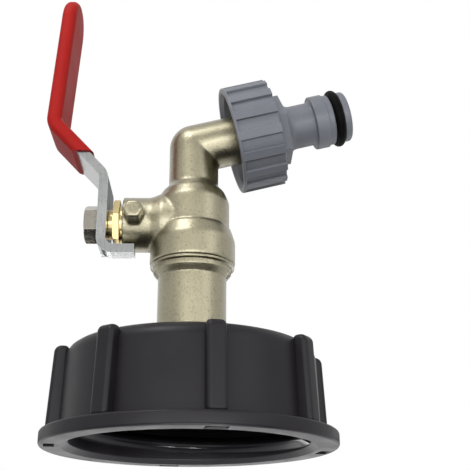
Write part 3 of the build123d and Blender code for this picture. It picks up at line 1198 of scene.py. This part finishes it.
@dataclass
class Handle:
    """Lever with its dipped grip, its nut and the stem that it turns."""

    strip_edge: float = 0.3 * MM
    grip_edge: float = 1.3 * MM
    grip_segments: int = 5
    nut_edge: float = 0.25 * MM

    def build(self) -> list[bpy.types.Object]:
        """Builds, dresses and returns the handle's pieces."""
        strip = softened("lever", "handle_strip", self.strip_edge)
        dress(strip, ZINC_STEEL, Body.LEVER, "lever")
        grip = softened("lever_sleeve", "handle_grip", self.grip_edge, self.grip_segments)
        dress(grip, RED_VINYL, Body.LEVER, "lever_sleeve")
        nut = softened("lever_nut", "handle_nut", self.nut_edge)
        dress(nut, BRIGHT_NICKEL, Body.LEVER, "lever_nut")
        stem = softened("stem", "handle_stem", self.nut_edge)
        dress(stem, PLAIN_BRASS, Body.LEVER, "stem")
        return [strip, grip, nut, stem]


@dataclass
class Connector:
    """Grey hose connector: ribbed skirt, spanner collar, waist and spigot."""

    elbow: float = 83.3 * MM
    rise: float = math.radians(14.3)
    outline: list[Corner] = field(
        default_factory=lambda: [
            (13.9, 10.8, 0.3),
            (15.1, 10.8, 0.5),
            (15.1, 11.6, 0.2),
            (14.35, 11.6, 0.1),
            (14.35, 23.3, 0.5),
            (7.4, 23.3, 0.0),
            (7.4, 26.5, 0.15),
            (6.15, 28.1, 5.0),
            (6.15, 34.6, 0.5),
            (7.6, 34.6, 0.35),
            (7.6, 38.4, 0.35),
            (7.15, 38.4, 0.1),
            (7.15, 40.1, 0.3),
            (5.45, 40.1, 0.2),
            (5.45, 42.8, 0.2),
            (7.15, 42.8, 0.3),
            (7.15, 44.9, 0.8),
            (4.8, 44.9, 0.4),
            (4.8, 22.0, 0.0),
            (13.05, 22.0, 0.3),
            (13.05, 12.0, 0.2),
        ]
    )
    segments: int = 160
    ribs: Ring = field(default_factory=lambda: Ring(16, 0.0))
    rib_box: tuple[float, float, float, float] = (13.9, 15.1, 11.2, 23.3)
    rib_width: float = 2.63 * MM
    rib_edge: float = 0.22 * MM
    collar_flats: float = 17.4 * MM
    collar_inner: float = 6.6 * MM
    collar_span: Span = (23.0 * MM, 26.5 * MM)
    collar_edge: float = 0.22 * MM

    def place(self) -> Matrix:
        """Returns the spout's frame: Z along it and X to the front."""
        along = Vector((math.cos(self.rise), 0.0, math.sin(self.rise)))
        front = Vector((0.0, -1.0, 0.0))
        made = Matrix((front, along.cross(front), along)).transposed().to_4x4()
        made.translation = Vector((0.0, 0.0, self.elbow))
        return made

    def build(self) -> list[bpy.types.Object]:
        """Builds, dresses and returns the connector's pieces."""
        here = self.place()
        moulding = lathe("connector_moulding", self.outline, here, self.segments)
        dress(moulding, GREY_PLASTIC, Body.TAP, "hose_connector")
        rib = bar("land", box(*self.rib_box), self.rib_width, self.rib_edge)
        ribs = dress(self.ribs.build("connector_ribs", rib, GREY_PLASTIC, here), GREY_PLASTIC, Body.TAP)
        collar = prism_ring(
            "connector_collar", self.collar_flats, self.collar_inner, self.collar_span, self.collar_edge
        )
        collar.data.transform(here)
        dress(collar, GREY_PLASTIC, Body.TAP)
        return [moulding, ribs, collar]


@dataclass
class Insides:
    """CAD pieces that are shown as they are."""

    finishes: dict[str, Finish] = field(
        default_factory=lambda: {
            "cap_gasket": BLACK_RUBBER,
            "lock_washer": RED_FIBRE,
            "seat_lower": WHITE_PLASTIC,
            "seat_upper": WHITE_PLASTIC,
            "ball": CHROMED_BALL,
            "thrust_washer": WHITE_PLASTIC,
            "stem_packing": WHITE_PLASTIC,
            "connector_washer": BLACK_RUBBER,
            "connector_oring": BLACK_RUBBER,
        }
    )

    def build(self) -> list[bpy.types.Object]:
        """Gives each carried-over CAD node its finish and returns the nodes."""
        for name, finish in self.finishes.items():
            node = frame["nodes"][name]
            node.data.materials.clear()
            node.data.materials.append(finish.material())
        return [frame["nodes"][name] for name in self.finishes]


def face(obj: bpy.types.Object, place: Place, aim: Place, axis: str) -> None:
    """Puts an object in its place and turns it to a point.

    Args:
        obj: Object that is moved.
        place: Where it goes, in metres.
        aim: Point that it faces, in metres.
        axis: Its own axis that points there.
    """
    obj.location = place
    away = Vector(aim) - Vector(place)
    obj.rotation_euler = away.to_track_quat(axis, "Y").to_euler()


@dataclass(frozen=True)
class Lamp:
    """A soft rectangular light.

    Args:
        name: Name of the light.
        place: Where it is, in metres.
        aim: Point that it faces, in metres.
        size: Width and height, in metres.
        power: Watts.
    """

    name: str
    place: Place
    aim: Place
    size: tuple[float, float]
    power: float

    def build(self) -> None:
        """Adds the light to the scene."""
        data = bpy.data.lights.new(self.name, "AREA")
        data.shape = "RECTANGLE"
        data.size, data.size_y = self.size
        data.energy = self.power
        made = linked(self.name, data)
        face(made, self.place, self.aim, "-Z")
        made.visible_camera = False


def plane(name: str, width: float, depth: float) -> bpy.types.Object:
    """Makes a rectangle round the origin, facing up.

    Args:
        name: Name of the object.
        width: Size along X, in metres.
        depth: Size along Y, in metres.

    Returns:
        The new object.
    """
    x, y = width / 2, depth / 2
    mesh = bpy.data.meshes.new(name)
    mesh.from_pydata([(-x, -y, 0), (x, -y, 0), (x, y, 0), (-x, y, 0)], [], [(0, 1, 2, 3)])
    return linked(name, mesh)


@dataclass(frozen=True)
class Card:
    """A dark or pale board that only reflections see.

    Args:
        name: Name of the board.
        place: Its centre, in metres.
        aim: Point that it faces, in metres.
        size: Width and height, in metres.
        level: Brightness of the board.
    """

    name: str
    place: Place
    aim: Place
    size: tuple[float, float]
    level: float

    def build(self) -> None:
        """Adds the board to the scene, as a stage object."""
        made = plane(self.name, *self.size)
        face(made, self.place, self.aim, "Z")
        paint, tree, surface = blank_material(self.name)
        glow = add_node(tree, "ShaderNodeEmission", {"Color": (self.level, self.level, self.level, 1.0)})
        tree.links.new(glow.outputs[0], surface)
        made.data.materials.append(paint)
        made.visible_camera = False
        made.visible_shadow = False
        made.visible_diffuse = False
        made.visible_transmission = False
        made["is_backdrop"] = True


@dataclass
class Studio:
    """Camera, white surroundings, lights, boards and floor."""

    camera_place: Place = (5.535 * MM, -235.495 * MM, -32.281 * MM)
    yaw: float = 0.025309
    pitch: float = 0.364251
    roll: float = math.radians(-0.14)
    lens: float = 70.67
    sensor: float = 36.0
    clip: Span = (0.01, 20.0)
    ambient: float = 0.28
    mirrored: float = 0.84
    floor_size: float = 4.0
    floor_drop: float = 0.05 * MM
    floor_white: float = 0.45
    floor_lift: float = 0.62
    lamps: tuple[Lamp, ...] = (
        Lamp("key", (-0.22, -0.32, 0.58), (0, 0, 0.07), (0.30, 0.30), 1.65),
        Lamp("fill", (0.45, -0.35, 0.25), (0, 0, 0.06), (0.25, 0.4), 0.4),
        Lamp("front", (0.0, -0.60, 0.02), (0, 0, 0.06), (0.9, 0.22), 2.3),
        Lamp("low_left", (-0.0145, -0.0476, -0.20), (0, 0.028, 0.008), (0.008, 0.03), 0.2),
        Lamp("low_right", (0.040, -0.0443, -0.20), (0, 0.028, 0.008), (0.008, 0.03), 0.2),
    )
    cards: tuple[Card, ...] = (
        Card("dark_below", (0.0, -0.12, -0.22), (0, -0.12, 0), (0.7, 0.40), 0.02),
        Card("pale_front", (0.0, -0.34, -0.15), (0, 0, 0.06), (0.6, 0.16), 2.2),
        Card("dark_behind", (0.0, 0.45, -0.03), (0, 0, -0.03), (0.8, 0.21), 0.08),
        Card("dark_right", (0.05, 0.45, 0.25), (-0.02, 0, 0.06), (0.20, 0.12), 0.24),
        Card("pale_strip", (0.0, 0.44, -0.07), (0, 0, -0.07), (0.8, 0.05), 3.2),
        Card("pale_behind", (0.0, 0.45, -0.22), (0, 0, -0.22), (0.8, 0.16), 1.2),
    )

    def build(self) -> None:
        """Builds the whole studio."""
        bpy.context.scene.view_settings.view_transform = "Standard"
        self._camera()
        self._world()
        self._floor()
        for lamp in self.lamps:
            lamp.build()
        for card in self.cards:
            card.build()

    def _camera(self) -> None:
        """Places the camera as the photograph was taken."""
        level = Vector((math.sin(self.yaw), math.cos(self.yaw), 0.0))
        forward = math.cos(self.pitch) * level + math.sin(self.pitch) * Vector((0.0, 0.0, 1.0))
        right = Vector((math.cos(self.yaw), -math.sin(self.yaw), 0.0))
        up = right.cross(forward)
        across = math.cos(self.roll) * right + math.sin(self.roll) * up
        over = -math.sin(self.roll) * right + math.cos(self.roll) * up
        data = bpy.data.cameras.new("camera")
        data.lens = self.lens
        data.sensor_width = self.sensor
        data.clip_start, data.clip_end = self.clip
        made = linked("camera", data)
        basis = Matrix((across, over, -forward)).transposed().to_4x4()
        basis.translation = Vector(self.camera_place)
        made.matrix_world = basis
        bpy.context.scene.camera = made

    def _world(self) -> None:
        """Sets white for the camera, and softer white for light and reflections."""
        world = bpy.data.worlds.new("studio")
        bpy.context.scene.world = world
        world.use_nodes = True
        tree = world.node_tree
        tree.nodes.clear()
        output = add_node(tree, "ShaderNodeOutputWorld")
        sky = add_node(tree, "ShaderNodeBackground", {"Color": (1.0, 1.0, 1.0, 1.0)})
        path = add_node(tree, "ShaderNodeLightPath")
        glossy = add_node(tree, "ShaderNodeMix", {MIX_A: self.ambient, MIX_B: self.mirrored})
        seen = add_node(tree, "ShaderNodeMix", {MIX_B: 1.0})
        link = tree.links.new
        link(path.outputs["Is Glossy Ray"], glossy.inputs[MIX_FACTOR])
        link(glossy.outputs[0], seen.inputs[MIX_A])
        link(path.outputs["Is Camera Ray"], seen.inputs[MIX_FACTOR])
        link(seen.outputs[0], sky.inputs["Strength"])
        link(sky.outputs[0], output.inputs["Surface"])

    def _floor(self) -> None:
        """Lays a white floor that the camera sees from above only."""
        made = plane("floor", self.floor_size, self.floor_size)
        made.location = (0.0, 0.0, -self.floor_drop)
        paint, tree, surface = blank_material("floor")
        grey = (self.floor_white, self.floor_white, self.floor_white, 1.0)
        white = add_node(tree, "ShaderNodeBsdfDiffuse", {"Color": grey})
        lift = add_node(tree, "ShaderNodeEmission", {"Strength": self.floor_lift})
        lit = add_node(tree, "ShaderNodeAddShader")
        clear = add_node(tree, "ShaderNodeBsdfTransparent")
        mix = add_node(tree, "ShaderNodeMixShader")
        side = add_node(tree, "ShaderNodeNewGeometry")
        path = add_node(tree, "ShaderNodeLightPath")
        above = add_node(tree, "ShaderNodeMath", operation="SUBTRACT", use_clamp=True)
        link = tree.links.new
        link(path.outputs["Is Camera Ray"], above.inputs[0])
        link(side.outputs["Backfacing"], above.inputs[1])
        link(white.outputs[0], lit.inputs[0])
        link(lift.outputs[0], lit.inputs[1])
        link(above.outputs[0], mix.inputs[0])
        link(clear.outputs[0], mix.inputs[1])
        link(lit.outputs[0], mix.inputs[2])
        link(mix.outputs[0], surface)
        made.data.materials.append(paint)
        made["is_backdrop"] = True


def clear_defaults() -> None:
    """Removes the start-up objects, so that only the frame is left."""
    keep = {obj.name for group in ("nodes", "bodies") for obj in frame[group].values()}
    for obj in list(bpy.data.objects):
        if obj.name not in keep:
            bpy.data.objects.remove(obj)


def corners() -> list[list[float]]:
    """Returns the lowest and highest corner of what is shown."""
    return [list(corner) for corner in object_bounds()]


def main() -> None:
    """Builds the tap and its studio."""
    logging.basicConfig(level=logging.INFO, format="%(name)s: %(message)s")
    clear_defaults()
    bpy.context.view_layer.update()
    for part in (Cap(), Valve(), Handle(), Connector(), Insides()):
        for piece in part.build():
            log.info("%s: %s", type(part).__name__.lower(), piece.name)
    Studio().build()


if __name__ == "__main__":
    main()
